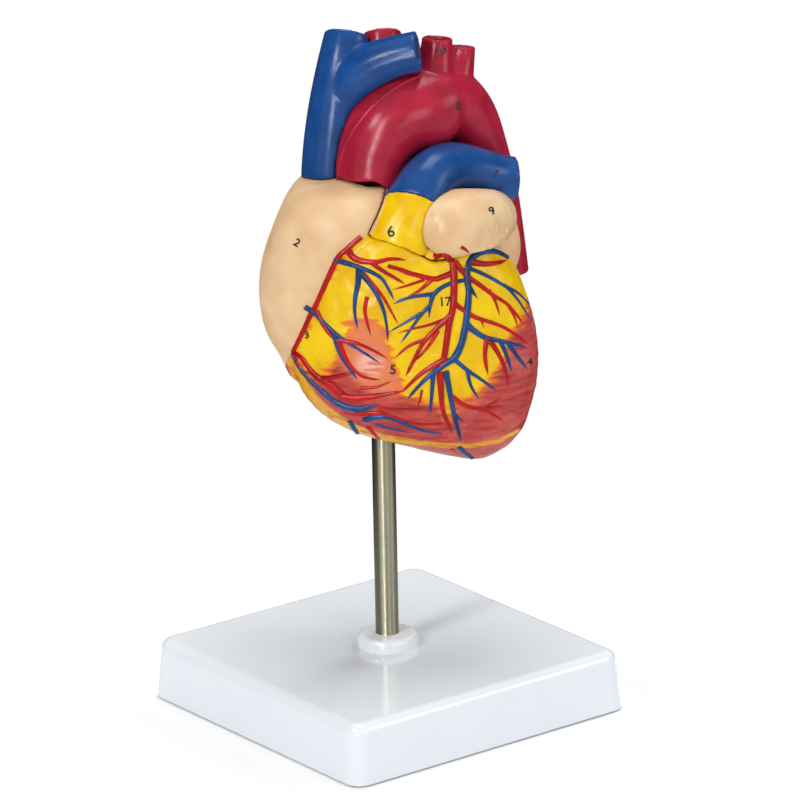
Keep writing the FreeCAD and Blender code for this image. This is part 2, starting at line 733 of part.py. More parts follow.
def rod_washer():
    bottom = boss_floor_height - boss_floor - washer_thickness
    ring = cylinder(washer_diameter / 2, (0, 0, bottom), (0, 0, 1), washer_thickness)
    return ring.cut(cylinder(screw_diameter / 2, (0, 0, bottom), (0, 0, 1), washer_thickness))


def stand_nodes():
    return {
        "base_shell": base_shell(),
        "rubber_feet": rubber_feet(),
        "rod_collar": rod_collar(),
        "support_rod": support_rod(),
        "rod_insert": rod_insert(),
        "rod_screw": rod_screw(),
        "rod_washer": rod_washer(),
    }


os.makedirs("parts", exist_ok=True)
nodes = stand_nodes()
nodes.update(heart_nodes())
for name, shape in nodes.items():
    shape.exportStep("parts/" + name + ".step")
    print(name, len(shape.Solids), round(shape.Volume), shape.isValid())
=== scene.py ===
import math

import bpy
import numpy as np
from mathutils import Euler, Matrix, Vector, noise
from mathutils.bvhtree import BVHTree


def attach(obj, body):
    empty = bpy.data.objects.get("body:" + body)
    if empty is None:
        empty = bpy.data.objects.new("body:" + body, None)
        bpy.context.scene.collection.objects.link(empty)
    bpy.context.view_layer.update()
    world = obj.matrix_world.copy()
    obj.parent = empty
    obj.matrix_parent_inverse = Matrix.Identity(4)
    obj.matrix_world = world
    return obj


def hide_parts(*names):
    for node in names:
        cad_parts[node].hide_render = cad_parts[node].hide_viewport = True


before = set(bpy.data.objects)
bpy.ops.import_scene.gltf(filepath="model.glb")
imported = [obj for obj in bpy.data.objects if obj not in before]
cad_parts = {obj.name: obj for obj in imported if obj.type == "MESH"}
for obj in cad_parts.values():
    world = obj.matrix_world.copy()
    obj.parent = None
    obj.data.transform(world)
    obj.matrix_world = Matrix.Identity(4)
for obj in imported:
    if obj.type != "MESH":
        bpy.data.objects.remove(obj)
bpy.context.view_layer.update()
bpy.ops.object.select_all(action="DESELECT")


# Square base.
# One injection moulding in white ABS with a glossy top. It is hollow underneath, where the
# ribs, the rod's boss and the posts for the feet are moulded with it.
base_white = "#e4eaf0"
mould_mark_white = "#dfe5eb"
flow_mark_mm = 60.0
mould_grain_mm = 1.3


def linear(colour):
    """An sRGB hex colour as the linear values a shader takes."""
    channels = [int(colour[start:start + 2], 16) / 255 for start in (1, 3, 5)]
    return [c / 12.92 if c <= 0.04045 else ((c + 0.055) / 1.055) ** 2.4 for c in channels] + [1.0]


def add_node(tree, kind, inputs, **settings):
    """Adds a shader node. An input is a plain value, a hex colour or another node's output."""
    made = tree.nodes.new(kind)
    for name, value in settings.items():
        setattr(made, name, value)
    for name, value in inputs.items():
        if isinstance(value, bpy.types.NodeSocket):
            tree.links.new(value, made.inputs[name])
        else:
            made.inputs[name].default_value = linear(value) if isinstance(value, str) else value
    return made


def new_finish(name, roughness, metallic=0.0, gloss_level=0.5):
    """A material with its shader's even values set, and the object's own coordinates."""
    finish = bpy.data.materials.new(name)
    finish.use_nodes = True
    tree = finish.node_tree
    shader = tree.nodes["Principled BSDF"]
    shader.inputs["Roughness"].default_value = roughness
    shader.inputs["Metallic"].default_value = metallic
    shader.inputs["Specular IOR Level"].default_value = gloss_level
    place = tree.nodes.new("ShaderNodeTexCoord").outputs["Object"]
    return finish, tree, shader, place


def coat(tree, ground, over, pattern, start=0.0, full=1.0, cover=1.0, within=None):
    """One colour laid over another. It starts at one value of a pattern and is full at another.
    It covers by a share, and can be held within a patch that is kept on the piece."""
    share = add_node(tree, "ShaderNodeMapRange", {"Value": pattern, "From Min": start, "From Max": full,
                                                  "To Max": cover}).outputs["Result"]
    if within is not None:
        held = add_node(tree, "ShaderNodeMath", {0: within, 1: share}, operation="MULTIPLY")
        share = held.outputs["Value"]
    return add_node(tree, "ShaderNodeMix", {"Factor": share, "A": ground, "B": over},
                    data_type="RGBA").outputs[2]


def surface(tree, shader, colour, pattern=None, gloss=None, relief=None):
    """Gives a finish its colour, and the gloss and relief that follow a pattern. Gloss is the
    pattern's two ends and the roughness at each, relief is its strength and its height."""
    tree.links.new(colour, shader.inputs["Base Color"])
    if gloss:
        rough = add_node(tree, "ShaderNodeMapRange", {"Value": pattern, "From Min": gloss[0],
                                                      "From Max": gloss[1], "To Min": gloss[2],
                                                      "To Max": gloss[3]})
        tree.links.new(rough.outputs["Result"], shader.inputs["Roughness"])
    if relief:
        raised = add_node(tree, "ShaderNodeBump", {"Height": pattern, "Strength": relief[0],
                                                   "Distance": relief[1]})
        tree.links.new(raised.outputs["Normal"], shader.inputs["Normal"])


def dress(node, finish):
    """Gives a CAD node its finish in the slot that it already has."""
    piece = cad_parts[node]
    if piece.material_slots:
        piece.material_slots[0].material = finish
    else:
        piece.data.materials.append(finish)


# gloss white ABS: faint broad flow marks in the colour, a fine grain in the gloss
abs_white, tree, shader, place = new_finish("moulded_white_abs", 0.13)
flow = add_node(tree, "ShaderNodeTexNoise", {"Vector": place, "Scale": 1000 / flow_mark_mm, "Detail": 2.0})
grain = add_node(tree, "ShaderNodeTexNoise", {"Vector": place, "Scale": 1000 / mould_grain_mm,
                                              "Detail": 3.0})
surface(tree, shader, coat(tree, base_white, mould_mark_white, flow.outputs["Fac"]),
        grain.outputs["Fac"], gloss=(0.0, 1.0, 0.09, 0.17), relief=(0.03, 0.0002))
dress("base_shell", abs_white)


# Rod collar.
# A ring in the same white ABS with a rounded edge, pressed into the base round the rod. Its
# mould is turned and less polished than the base's, so its gloss is a little softer.
# painted light: the collar's white is lighter than the base's, to make up for the shade that the heart casts
# on it
collar_lit_white = "#f8fafc"
swirl_mm = 6.0
collar_grain_mm = 0.9
collar_abs, tree, shader, place = new_finish("moulded_collar_abs", 0.16)
swirl = add_node(tree, "ShaderNodeTexNoise", {"Vector": place, "Scale": 1000 / swirl_mm, "Detail": 2.0})
grain = add_node(tree, "ShaderNodeTexNoise", {"Vector": place, "Scale": 1000 / collar_grain_mm,
                                              "Detail": 2.0})
surface(tree, shader, coat(tree, collar_lit_white, mould_mark_white, swirl.outputs["Fac"]),
        grain.outputs["Fac"], relief=(0.05, 0.0002))
dress("rod_collar", collar_abs)


# Rubber feet.
# Four black rubber discs pushed into the posts under the base, matt from their mould.
# The rubber has a fine pebbled grain and grey dust in its low places.
foot_black = "#1c1c1d"
foot_dust = "#3a3a3a"
pebble_mm = 0.8
foot_rubber, tree, shader, place = new_finish("moulded_rubber", 0.75)
pebble = add_node(tree, "ShaderNodeTexVoronoi", {"Vector": place, "Scale": 1000 / pebble_mm})
surface(tree, shader, coat(tree, foot_black, foot_dust, pebble.outputs["Distance"]),
        pebble.outputs["Distance"], relief=(0.4, 0.0002))
dress("rubber_feet", foot_rubber)


# Support rod.
# A stainless steel tube, ground and polished as it turns, so its fine lines run round it.
# The lines draw each light out along the rod, so that it mirrors the room in long stripes.
steel_grey = "#85836f"
steel_warm = "#9b9882"
polish_line_mm = 0.4
round_stretch = 0.02
polished_steel, tree, shader, place = new_finish("ground_stainless_tube", 0.4, metallic=1.0)
shader.inputs["Anisotropic"].default_value = 0.9
shader.inputs["Anisotropic Rotation"].default_value = 0.25
round_the_rod = add_node(tree, "ShaderNodeTangent", {}, direction_type="RADIAL", axis="Z")
tree.links.new(round_the_rod.outputs["Tangent"], shader.inputs["Tangent"])
drawn = add_node(tree, "ShaderNodeMapping", {"Vector": place, "Scale": (round_stretch, round_stretch, 1.0)})
lines = add_node(tree, "ShaderNodeTexNoise", {"Vector": drawn.outputs["Vector"],
                                              "Scale": 1000 / polish_line_mm, "Detail": 3.0})
surface(tree, shader, coat(tree, steel_grey, steel_warm, lines.outputs["Fac"]),
        lines.outputs["Fac"], gloss=(0.0, 1.0, 0.30, 0.40))
dress("support_rod", polished_steel)


# Insert, screw and washer under the rod, and the locating pins.
# Turned steel, zinc plated: a cool grey with a spangle that shows as soft lighter patches.
# They are out of sight in use, and their plating is duller than the rod's polish.
zinc_grey = "#9a9da1"
zinc_bright = "#c2c5c8"
spangle_mm = 1.6
zinc_steel, tree, shader, place = new_finish("zinc_plated_steel", 0.35, metallic=1.0)
spangle = add_node(tree, "ShaderNodeTexVoronoi", {"Vector": place, "Scale": 1000 / spangle_mm})
surface(tree, shader, coat(tree, zinc_grey, zinc_bright, spangle.outputs["Distance"]),
        spangle.outputs["Distance"], gloss=(0.0, 1.0, 0.28, 0.45))
for hardware in ("rod_insert", "rod_screw", "rod_washer", "locating_pins"):
    dress(hardware, zinc_steel)


# Rod socket.
# A grey ABS sleeve glued into the heart. The rod slides in it, so it is rubbed dark along
# its length.
socket_grey = "#b9b9b4"
socket_worn = "#8e8e89"
rub_mm = 1.5
rub_stretch = 0.05
socket_abs, tree, shader, place = new_finish("moulded_socket_abs", 0.45)
drawn = add_node(tree, "ShaderNodeMapping", {"Vector": place, "Scale": (1.0, 1.0, rub_stretch)})
rubbed = add_node(tree, "ShaderNodeTexNoise", {"Vector": drawn.outputs["Vector"], "Scale": 1000 / rub_mm,
                                               "Detail": 2.0})
surface(tree, shader, coat(tree, socket_grey, socket_worn, rubbed.outputs["Fac"]))
dress("rod_socket", socket_abs)


# The camera, placed first because the hand-painted lines are drawn as it sees them.
# A long lens about three metres away, above the model and looking down on it.
camera_place = Vector((-1.65571, -2.18566, 1.05314))
camera_turn = Euler((math.radians(71.5167), math.radians(1.0717), math.radians(-37.6582)))
lens_mm = 307.04
sensor_mm = 36.0
frame_pixels = 800
bpy.ops.object.camera_add(location=camera_place, rotation=camera_turn)
camera = bpy.context.object
camera.name = "camera"
camera.data.lens = lens_mm
camera.data.sensor_width = sensor_mm
camera.data.clip_start = 0.5
camera.data.clip_end = 20.0
bpy.context.scene.camera = camera
pixel_reach = sensor_mm / lens_mm / frame_pixels
mm_per_pixel = 0.43


def ray(across, down):
    """The line of sight through a drawn place, in pixels from the frame's top left."""
    aim = Vector(((across - frame_pixels / 2) * pixel_reach, (frame_pixels / 2 - down) * pixel_reach, -1.0))
    aim.rotate(camera_turn)
    return aim.normalized()


def drawn_places(points):
    """Where points of the model are seen, in pixels from the frame's top left."""
    turn = np.array(camera_turn.to_matrix())
    local = (points - np.array(camera_place)) @ turn
    across = frame_pixels / 2 - local[:, 0] / local[:, 2] / pixel_reach
    down = frame_pixels / 2 + local[:, 1] / local[:, 2] / pixel_reach
    return np.stack([across, down], 1)


# Heart shells: the rear half and the front cover, each with its atrium glued on.
# Rotocast PVC, painted by hand in enamel: flesh on the atria, yellow for fat, red for muscle.
# Fat and muscle are raised in the casting, and the paint is streaked along the fibres.
heart_turn = math.radians(37.3)
heart_height = 0.118
seam_depth = -0.009
shell_voxel = 0.0010
fat_lobule_mm = 5.0
fibre_mm = 2.2
relief_fat = 0.00045
relief_fibre = 0.00030
# drawn outlines, in pixels: the ventricles' front, its fat, its salmon patch and the fat's hem
ventricle_outline = ((389, 186), (385, 203), (373, 231), (362, 239), (349, 248), (336, 262), (318, 301),
                     (308, 312), (300, 336), (292, 352), (286, 362), (284, 380), (240, 420), (300, 520),
                     (480, 560), (640, 460), (640, 290), (560, 285), (527, 272), (515, 258), (503, 251),
                     (470, 250), (455, 200), (440, 180))
fat_outline = ((383, 180), (357, 237), (336, 262), (317, 303), (305, 330), (292, 352), (300, 362),
               (312, 373), (323, 374), (335, 362), (338, 350), (347, 338), (343, 328), (352, 322),
               (364, 317), (376, 320), (384, 334), (389, 350), (397, 368), (400, 388), (408, 397),
               (426, 403), (440, 402), (447, 417), (452, 403), (463, 399), (478, 392), (487, 383),
               (497, 371), (503, 352), (509, 339), (516, 326), (524, 312), (533, 290), (548, 262),
               (520, 200), (440, 170))
salmon_outline = ((364, 316), (379, 320), (389, 345), (399, 368), (405, 388), (392, 396), (372, 394),
                  (354, 380), (341, 362), (346, 345), (341, 330), (352, 322))
hem_line = ((292, 362), (299, 378), (311, 397), (324, 410), (338, 421), (358, 431), (380, 438), (400, 441),
            (440, 445), (470, 446), (500, 441), (518, 431))
under_outline = hem_line + ((560, 431), (560, 520), (250, 520), (250, 362))
pink_place = (370, 364)
# how softly each paint begins and ends, in pixels, and half the hem's width at its two ends
salmon_fade = (-7.0, 6.0)
hem_fade = (1.2, -1.2)
hem_half_widths = (5.6, 2.0)
hem_narrows = (335, 450)
under_fade = (0.0, 4.0)
pink_fade = (20.0, 6.0)
# depths in mm where the back's paint takes over, and half the width of fat along its grooves
back_begins = (-12.0, -5.0)
back_line = -8.0
groove_fat_half = 5.5
furrow_fat_half = 3.5
# relief and the seam's paint, in mm: where each starts and where it is full
fat_relief = (-2.0, 2.0)
relief_off_flesh = (0.0, 2.0)
relief_off_seam = (1.0, 3.0)
seam_paint = (0.8, 0.3)
# how squarely a face of the seam has to look at the cover, and how the relief's fibres run
seam_facing = (0.5, 0.9)
fibre_run = (0.25, 0.3, 0.1)
weld_distance = 0.000002
# the shares of open sky between a chamber and the outside, and how far a chamber's wall may be
open_shares = (0.10, 0.35)
sky_lean = 0.9
sky_start = 0.0006
sky_reach = 0.13
# on the back, in mm from the heart's own middle: side and height of the groove and the lower furrow
back_groove = ((-60, 22), (-38, 28), (-25, 37), (-14, 52), (-4, 58), (12, 58), (30, 57), (45, 60), (55, 67),
               (62, 78), (70, 92))
back_furrow = ((-4, 58), (6, 44), (18, 30), (30, 18), (42, 6), (52, -2))


def moulded_copy(name, nodes, voxel, body):
    """One close-meshed copy of castings that are glued together, for paint and relief to follow."""
    bpy.ops.object.select_all(action="DESELECT")
    for node in nodes:
        piece = bpy.data.objects.new(name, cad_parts[node].data.copy())
        bpy.context.scene.collection.objects.link(piece)
        piece.select_set(True)
        bpy.context.view_layer.objects.active = piece
    if len(nodes) > 1:
        bpy.ops.object.join()
        piece.name = name
    bpy.ops.object.mode_set(mode="EDIT")
    bpy.ops.mesh.select_all(action="SELECT")
    bpy.ops.mesh.remove_doubles(threshold=weld_distance)
    bpy.ops.object.mode_set(mode="OBJECT")
    bpy.ops.object.modifier_add(type="REMESH")
    remesh = piece.modifiers[-1]
    remesh.mode = "VOXEL"
    remesh.voxel_size = voxel
    bpy.ops.object.modifier_apply(modifier=remesh.name)
    bpy.ops.object.modifier_add(type="SMOOTH")
    relax = piece.modifiers[-1]
    relax.factor = 0.5
    relax.iterations = 2
    bpy.ops.object.modifier_apply(modifier=relax.name)
    bpy.ops.object.shade_smooth()
    piece.data.materials.clear()
    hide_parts(*nodes)
    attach(piece, body)
    return piece


def points_of(piece):
    """A piece's points and normals as arrays, in metres."""
    count = len(piece.data.vertices)
    points = np.empty(count * 3)
    normals = np.empty(count * 3)
    piece.data.vertices.foreach_get("co", points)
    piece.data.vertices.foreach_get("normal", normals)
    return points.reshape(-1, 3), normals.reshape(-1, 3)


def heart_places(points):
    """Points as side, depth and height of the heart itself, in mm."""
    side = points[:, 0] * math.cos(heart_turn) - points[:, 1] * math.sin(heart_turn)
    depth = points[:, 0] * math.sin(heart_turn) + points[:, 1] * math.cos(heart_turn)
    return np.stack([side, depth, points[:, 2] - heart_height], 1) * 1000


def paint(piece, name, values):
    """Keeps one number for each point of a piece, for its finish to read."""
    layer = piece.data.attributes.new(name, "FLOAT", "POINT")
    layer.data.foreach_set("value", np.asarray(values, dtype=np.float32))


def line_distance(places, line):
    """How far places are from a drawn line."""
    nearest = np.full(len(places), 1e9)
    for start, end in zip(line, line[1:]):
        run = np.subtract(end, start).astype(float)
        share = np.clip((places - start) @ run / (run @ run), 0, 1)
        nearest = np.minimum(nearest, np.hypot(*(places - start - share[:, None] * run).T))
    return nearest


def outline_depth(places, outline):
    """How far places are inside a closed outline, less than nothing outside it."""
    closed = list(outline) + [outline[0]]
    within = np.zeros(len(places), bool)
    for (ax, ay), (bx, by) in zip(closed, closed[1:]):
        crosses = (ay > places[:, 1]) != (by > places[:, 1])
        rise = by - ay if by != ay else 1e-9
        within ^= crosses & (places[:, 0] < (bx - ax) * (places[:, 1] - ay) / rise + ax)
    return np.where(within, 1, -1) * line_distance(places, closed)


def eased(values, low, high):
    """From 0 at the low value to 1 at the high one, eased at both ends."""
    share = np.clip((values - low) / (high - low), 0, 1)
    return share * share * (3 - 2 * share)


def open_sky(points, normals, trees):
    """How much of what a point faces is open, from 0 in a chamber to 1 on the outside."""
    leans = [Vector((0, 0, 0))]
    for lean in ((1, 0, 0), (-1, 0, 0), (0, 1, 0), (0, -1, 0), (0, 0, 1), (0, 0, -1)):
        leans.append(Vector(lean) * sky_lean)
    shares = []
    for point, normal in zip(points, normals):
        normal = Vector(normal)
        start = Vector(point) + normal * sky_start
        free = 0
        for lean in leans:
            aim = (normal + lean).normalized()
            if not any(tree.ray_cast(start, aim, sky_reach)[0] for tree in trees):
                free += 1
        shares.append(free / len(leans))
    return np.array(shares)


def surface_tree(piece):
    """A piece's faces, ready to be met by a line."""
    mesh = piece.data
    return BVHTree.FromPolygons([v.co for v in mesh.vertices], [p.vertices for p in mesh.polygons])


front_cover = moulded_copy("heart_cover_painted", ("front_cover", "atrium_cover"), shell_voxel, "cover")
heart_rear = moulded_copy("heart_rear_painted", ("heart_rear", "right_atrium", "left_atrium"), shell_voxel,
                          "heart")
closed_heart = [surface_tree(front_cover), surface_tree(heart_rear)]
towards_cover = np.array((math.sin(heart_turn), math.cos(heart_turn), 0.0))
for shell in (front_cover, heart_rear):
    points, normals = points_of(shell)
    seen = drawn_places(points)
    heart = heart_places(points)
    elevation = heart[:, [0, 2]]
    from_seam = np.abs(heart[:, 1] - seam_depth * 1000)
    outside = eased(open_sky(points, normals, closed_heart), *open_shares)
    back = eased(heart[:, 1], *back_begins)
    front_flesh = -outline_depth(seen, ventricle_outline) * mm_per_pixel
    behind = np.interp(heart[:, 0], *np.array(back_groove).T)
    back_flesh = np.where(heart[:, 2] > behind, 1, -1) * line_distance(elevation, back_groove)
    flesh = np.where(heart[:, 1] > back_line, back_flesh, front_flesh)
    front_fat = outline_depth(seen, fat_outline) * mm_per_pixel
    back_fat = np.maximum(groove_fat_half - line_distance(elevation, back_groove),
                          furrow_fat_half - line_distance(elevation, back_furrow))
    fat = front_fat * (1 - back) + back_fat * back
    salmon = eased(outline_depth(seen, salmon_outline), *salmon_fade) * (1 - back)
    narrowed = (hem_half_widths[1] - hem_half_widths[0]) * eased(seen[:, 0], *hem_narrows)
    from_hem = line_distance(seen, hem_line) - hem_half_widths[0] - narrowed
    hem = eased(from_hem, *hem_fade) * (1 - back)
    under = eased(outline_depth(seen, under_outline), *under_fade) * (1 - back)
    pink = eased(np.hypot(*(seen - pink_place).T), *pink_fade) * (1 - back)
    cut = eased(from_seam, *seam_paint) * eased(np.abs(normals @ towards_cover), *seam_facing)
    for name, values in (("flesh", flesh), ("fat", fat), ("salmon", salmon), ("hem", hem), ("under", under),
                         ("pink", pink), ("outside", outside), ("cut", cut)):
        paint(shell, name, values)
    free_to_lift = eased(from_seam, *relief_off_seam) * outside * eased(-flesh, *relief_off_flesh)
    lifts = []
    for (side, depth, height), fatness in zip(heart, eased(fat, *fat_relief)):
        lobule = noise.noise(Vector((side, depth, height)) / fat_lobule_mm)
        along = Vector((side * fibre_run[0] + height * fibre_run[2], depth * fibre_run[1], height))
        fibre = noise.noise(along / fibre_mm)
        lifts.append(relief_fat * lobule * fatness + relief_fibre * fibre * (1 - fatness))
    moved = points + normals * (np.array(lifts) * free_to_lift)[:, None]
    shell.data.vertices.foreach_set("co", moved.ravel())
    shell.data.update()


# hand-painted enamel on PVC: the kept numbers choose the paint, streaks break up its borders
fat_yellow = "#eac302"
fat_deep = "#dcab02"
fat_pale = "#f8e588"
fat_edge_orange = "#e2761c"
muscle_red = "#bd4640"
muscle_dark = "#962e2d"
muscle_light = "#d06e66"
salmon_skin = "#d87a4e"
salmon_light = "#e8ab9b"
flesh_tone = "#e2c298"
flesh_deep = "#d5ae82"
underside_red = "#b4564c"
hem_gold = "#dba023"
chamber_red = "#b9564b"
chamber_deep = "#8e3a35"
cut_flesh = "#d9967f"
# painted shade: a brown darkening, found by ambient occlusion, in the grooves beside the raised vessels
groove_shade_brown = "#7c3517"
groove_shade_reach = 0.0011
brush_streak_mm = 2.4
paint_patch_mm = 14.0
fray_mm = 3.4
brush_turn = (0.0, 0.25, 0.65)
brush_stretch = (0.18, 0.30, 1.0)
heart_enamel, tree, shader, place = new_finish("hand_painted_enamel_on_pvc", 0.28, gloss_level=0.2)
fibres = add_node(tree, "ShaderNodeMapping", {"Vector": place, "Rotation": brush_turn,
                                              "Scale": brush_stretch})
strokes = add_node(tree, "ShaderNodeTexNoise", {"Vector": fibres.outputs["Vector"],
                                                "Scale": 1000 / brush_streak_mm, "Detail": 4.0,
                                                "Roughness": 0.6}).outputs["Fac"]
patches = add_node(tree, "ShaderNodeTexNoise", {"Vector": place, "Scale": 1000 / paint_patch_mm,
                                                "Detail": 3.0}).outputs["Fac"]
groove_shade = add_node(tree, "ShaderNodeAmbientOcclusion", {"Distance": groove_shade_reach}, samples=8)
kept = {name: add_node(tree, "ShaderNodeAttribute", {}, attribute_name=name).outputs["Fac"]
        for name in ("flesh", "fat", "salmon", "hem", "under", "pink", "outside", "cut")}
# the fat's border in mm, frayed by the brush
frayed = add_node(tree, "ShaderNodeMapRange", {"Value": strokes, "From Min": 0.25, "From Max": 0.75,
                                               "To Min": -fray_mm, "To Max": fray_mm})
ragged = add_node(tree, "ShaderNodeMath", {0: frayed.outputs["Result"], 1: kept["fat"]},
                  operation="ADD").outputs["Value"]
red = coat(tree, muscle_dark, muscle_red, strokes, 0.36, 0.62)
red = coat(tree, red, muscle_light, patches, 0.5, 0.75, cover=0.6)
red = coat(tree, red, underside_red, strokes, 0.2, 0.6, within=kept["under"])
salmon_coat = coat(tree, salmon_skin, salmon_light, strokes, 0.40, 0.56, within=kept["pink"])
salmon_coat = coat(tree, salmon_coat, muscle_light, strokes, 0.44, 0.36, cover=0.8)
red = coat(tree, red, salmon_coat, kept["salmon"])
yellow = coat(tree, fat_deep, fat_yellow, patches, 0.35, 0.65)
yellow = coat(tree, yellow, fat_pale, strokes, 0.62, 0.8, cover=0.5)
painted = coat(tree, red, fat_edge_orange, ragged, -fray_mm, 0.4)
painted = coat(tree, painted, yellow, ragged, -0.3, 1.8)
painted = coat(tree, painted, hem_gold, strokes, 0.25, 0.5, within=kept["hem"])
flesh_coat = coat(tree, flesh_deep, flesh_tone, patches, 0.35, 0.7)
painted = coat(tree, painted, flesh_coat, kept["flesh"], -0.25, 0.25)
# painted shade: brown laid over the paint where ambient occlusion finds the grooves beside the vessels
painted = coat(tree, painted, groove_shade_brown, groove_shade.outputs["AO"], 0.85, 0.45, cover=0.75)
inner = coat(tree, chamber_deep, chamber_red, strokes, 0.35, 0.65)
painted = coat(tree, inner, painted, kept["outside"])
painted = coat(tree, painted, cut_flesh, kept["cut"])
surface(tree, shader, painted, strokes, relief=(0.15, 0.0006))
# the gloss varies from patch to patch, and the flesh paint is flatter than the others
sheen = add_node(tree, "ShaderNodeMapRange", {"Value": patches, "From Min": 0.3, "From Max": 0.7,
                                              "To Min": 0.20, "To Max": 0.32})
flatness = add_node(tree, "ShaderNodeMapRange", {"Value": kept["flesh"], "From Min": -0.25,
                                                 "From Max": 0.25, "To Max": 0.20})
dulled = add_node(tree, "ShaderNodeMath", {0: sheen.outputs["Result"], 1: flatness.outputs["Result"]},
                  operation="ADD")
tree.links.new(dulled.outputs["Value"], shader.inputs["Roughness"])
for shell in (front_cover, heart_rear):
    shell.data.materials.append(heart_enamel)


# Great vessels, trunk and left auricle.
# Soft PVC castings glued to the rear half and painted: crimson for the aorta, blue for the
# veins and the pulmonary arteries, yellow for the trunk, flesh for the auricle.
vessel_voxel = 0.0008
artery_crimson = "#ad1f39"
artery_deep = "#97182f"
# painted shade inside the aorta's hollow end
artery_hollow_shade = "#6e2a2a"
vein_blue = "#1a4a8a"
vein_deep = "#153f7a"
# painted shade inside the other vessels' hollow ends
hollow_shade_brown = "#5b4a34"
vessel_patch_mm = 11.0
vessel_streak_mm = 2.2
# drawn outline of the atrium's flesh paint, which runs on over the trunk's left edge
trunk_edge = ((389, 180), (389, 188), (385, 203), (373, 231), (365, 240), (340, 240), (340, 180))


def enamel(name, light, deep, hollow_shade, roughness=0.2):
    """Glossy enamel in two tones of one colour, with painted shade darkening the inside of the vessel."""
    finish, tree, shader, place = new_finish(name, roughness, gloss_level=0.2)
    patches = add_node(tree, "ShaderNodeTexNoise", {"Vector": place, "Scale": 1000 / vessel_patch_mm,
                                                    "Detail": 3.0})
    strokes = add_node(tree, "ShaderNodeTexNoise", {"Vector": place, "Scale": 1000 / vessel_streak_mm,
                                                    "Detail": 3.0})
    outside = add_node(tree, "ShaderNodeAttribute", {}, attribute_name="outside")
    flesh = add_node(tree, "ShaderNodeAttribute", {}, attribute_name="flesh")
    colour = coat(tree, deep, light, patches.outputs["Fac"], 0.35, 0.65)
    colour = coat(tree, colour, flesh_tone, flesh.outputs["Fac"])
    # painted shade: the dark colour inside the vessel, where a point sees little of the open room
    colour = coat(tree, hollow_shade, colour, outside.outputs["Fac"])
    surface(tree, shader, colour, strokes.outputs["Fac"],
            gloss=(0.3, 0.7, roughness - 0.04, roughness + 0.08), relief=(0.06, 0.0005))
    return finish


crimson_enamel = enamel("crimson_enamel_on_pvc", artery_crimson, artery_deep, artery_hollow_shade)
blue_enamel = enamel("blue_enamel_on_pvc", vein_blue, vein_deep, hollow_shade_brown)
yellow_enamel = enamel("yellow_enamel_on_pvc", fat_yellow, fat_deep, hollow_shade_brown)
flesh_enamel = enamel("flesh_enamel_on_pvc", flesh_tone, flesh_deep, hollow_shade_brown, 0.28)
vessels = []
for node, finish, slot in (
        ("aorta", crimson_enamel, "artery_paint"),
        ("superior_vena_cava", blue_enamel, "vein_paint"),
        ("inferior_vena_cava", blue_enamel, "vein_paint"),
        ("pulmonary_arteries", blue_enamel, "vein_paint"),
        ("pulmonary_trunk", yellow_enamel, "trunk_paint"),
        ("left_auricle", flesh_enamel, "flesh_paint"),
        ("left_pulmonary_veins", crimson_enamel, "artery_paint"),
        ("right_pulmonary_veins", crimson_enamel, "artery_paint")):
    vessel = moulded_copy(node + "_painted", (node,), vessel_voxel, "heart")
    points, normals = points_of(vessel)
    # how open each point is to the room, which the enamel uses to darken the vessel's inside as painted
    # shade
    paint(vessel, "outside", eased(open_sky(points, normals, [surface_tree(vessel)]), 0.3, 0.6))
    if node == "pulmonary_trunk":
        paint(vessel, "flesh", eased(outline_depth(drawn_places(points), trunk_edge), -0.6, 0.6))
    vessel.data.materials.append(finish)
    vessels.append(vessel)


# Valves and papillary muscles.
# Cast with the chambers and painted: the cusps ivory, thin and a little translucent at their
# free edges, and the muscles a deep red that is ribbed along their length.
cusp_ivory = "#e8d9bd"
cusp_shade = "#d6bf98"
papillary_red = "#a8453c"
papillary_dark = "#86312c"
veil_mm = 3.0
bundle_mm = 1.8
bundle_stretch = 0.2
valve_enamel, tree, shader, place = new_finish("ivory_enamel_on_pvc", 0.35, gloss_level=0.35)
veil = add_node(tree, "ShaderNodeTexNoise", {"Vector": place, "Scale": 1000 / veil_mm, "Detail": 3.0})
surface(tree, shader, coat(tree, cusp_shade, cusp_ivory, veil.outputs["Fac"], 0.35, 0.65))
shader.inputs["Subsurface Weight"].default_value = 0.1
shader.inputs["Subsurface Scale"].default_value = 0.001
for valve in ("tricuspid_valve", "mitral_valve", "aortic_valve", "pulmonary_valve"):
    dress(valve, valve_enamel)
muscle_enamel, tree, shader, place = new_finish("red_enamel_on_pvc_muscle", 0.32, gloss_level=0.35)
drawn = add_node(tree, "ShaderNodeMapping", {"Vector": place, "Scale": (1.0, 1.0, bundle_stretch)})
bundle = add_node(tree, "ShaderNodeTexNoise", {"Vector": drawn.outputs["Vector"], "Scale": 1000 / bundle_mm,
                                               "Detail": 3.0})
surface(tree, shader, coat(tree, papillary_dark, papillary_red, bundle.outputs["Fac"], 0.38, 0.62),
        bundle.outputs["Fac"], relief=(0.3, 0.0005))
dress("papillary_muscles", muscle_enamel)


# Coronary vessels.
# Raised in the casting and picked out with a fine brush, red for arteries and blue for veins.
# Each is a half-sunk cord, and the small branches thin towards their tips.
artery_red = "#bf0a15"
artery_dark = "#94060d"
small_vein_blue = "#164787"
small_vein_dark = "#0f335f"
brush_width = 1.34
start_behind_mm = 100.0
route_step = 1.8
longest_step = 0.009
sunk_share = 0.30
# a branch that ends finer than this, in pixels, tapers over its last steps to a share of its width
fine_branch = 3.5
tip_steps = 5
tip_share = 0.25
